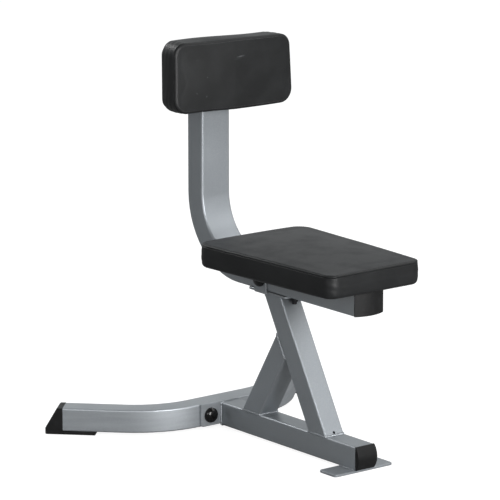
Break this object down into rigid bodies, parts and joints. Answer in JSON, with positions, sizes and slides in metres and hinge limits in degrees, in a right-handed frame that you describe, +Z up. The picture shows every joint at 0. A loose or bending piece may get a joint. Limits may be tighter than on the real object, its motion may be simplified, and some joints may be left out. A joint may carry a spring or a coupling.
{
  "type": "gym utility stool",
  "caption": "Low padded workout seat with a small back pad on one bent tube, over a welded A-frame and a swept rear stabilizer.",
  "frame": {"origin": "on the floor, under the middle of the stool's bounding box", "axes": "+Z up, -Y to the front where the sitter faces, X across"},
  "size_m": [0.708, 0.711, 0.8479],
  "materials": {
    "silver_paint": "silver-grey powder coat with a faint fleck",
    "black_plastic": "black moulded plastic, satin",
    "gloss_black": "black domed bolt caps, glossy",
    "black_vinyl": "black satin vinyl, sewn over foam",
    "plywood": "raw plywood",
    "zinc_steel": "zinc plated",
    "black_steel": "blackened steel, satin"
  },
  "bodies": {
    "root": {"back_board": "plywood", "back_bolt_lower": "zinc_steel", "back_bolt_upper": "zinc_steel", "back_cushion": "black_vinyl", "back_tnut_lower": "zinc_steel", "back_tnut_upper": "zinc_steel", "back_washer_lower": "zinc_steel", "back_washer_upper": "zinc_steel", "base_rail": "silver_paint", "base_rail_cap": "black_plastic", "ear_bolt": "zinc_steel", "ear_bolt_cap_left": "gloss_black", "ear_bolt_cap_right": "gloss_black", "ear_nut": "zinc_steel", "ear_washer_left": "zinc_steel", "ear_washer_right": "zinc_steel", "foot_plate": "silver_paint", "main_leg": "silver_paint", "post_cap": "black_plastic", "rear_brace": "silver_paint", "rear_plate": "silver_paint", "saddle_bolt_front": "black_steel", "saddle_bolt_rear": "black_steel", "saddle_ear_left": "silver_paint", "saddle_ear_right": "silver_paint", "saddle_nut_front": "black_steel", "saddle_nut_rear": "black_steel", "saddle_plate": "silver_paint", "saddle_washer_front": "black_steel", "saddle_washer_rear": "black_steel", "seat_board": "plywood", "seat_bolt_front": "zinc_steel", "seat_bolt_rear": "zinc_steel", "seat_cushion": "black_vinyl", "seat_rail": "silver_paint", "seat_rail_cap": "black_plastic", "seat_tnut_front": "zinc_steel", "seat_tnut_rear": "zinc_steel", "seat_washer_front": "zinc_steel", "seat_washer_rear": "zinc_steel", "stabilizer_bolt_cap_left": "gloss_black", "stabilizer_bolt_cap_right": "gloss_black", "stabilizer_bolt_left": "zinc_steel", "stabilizer_bolt_right": "zinc_steel", "stabilizer_cap_left": "black_plastic", "stabilizer_cap_right": "black_plastic", "stabilizer_front_washer_left": "zinc_steel", "stabilizer_front_washer_right": "zinc_steel", "stabilizer_nut_left": "zinc_steel", "stabilizer_nut_right": "zinc_steel", "stabilizer_rear_washer_left": "zinc_steel", "stabilizer_rear_washer_right": "zinc_steel", "stabilizer_tube": "silver_paint"}
  },
  "joints": []
}
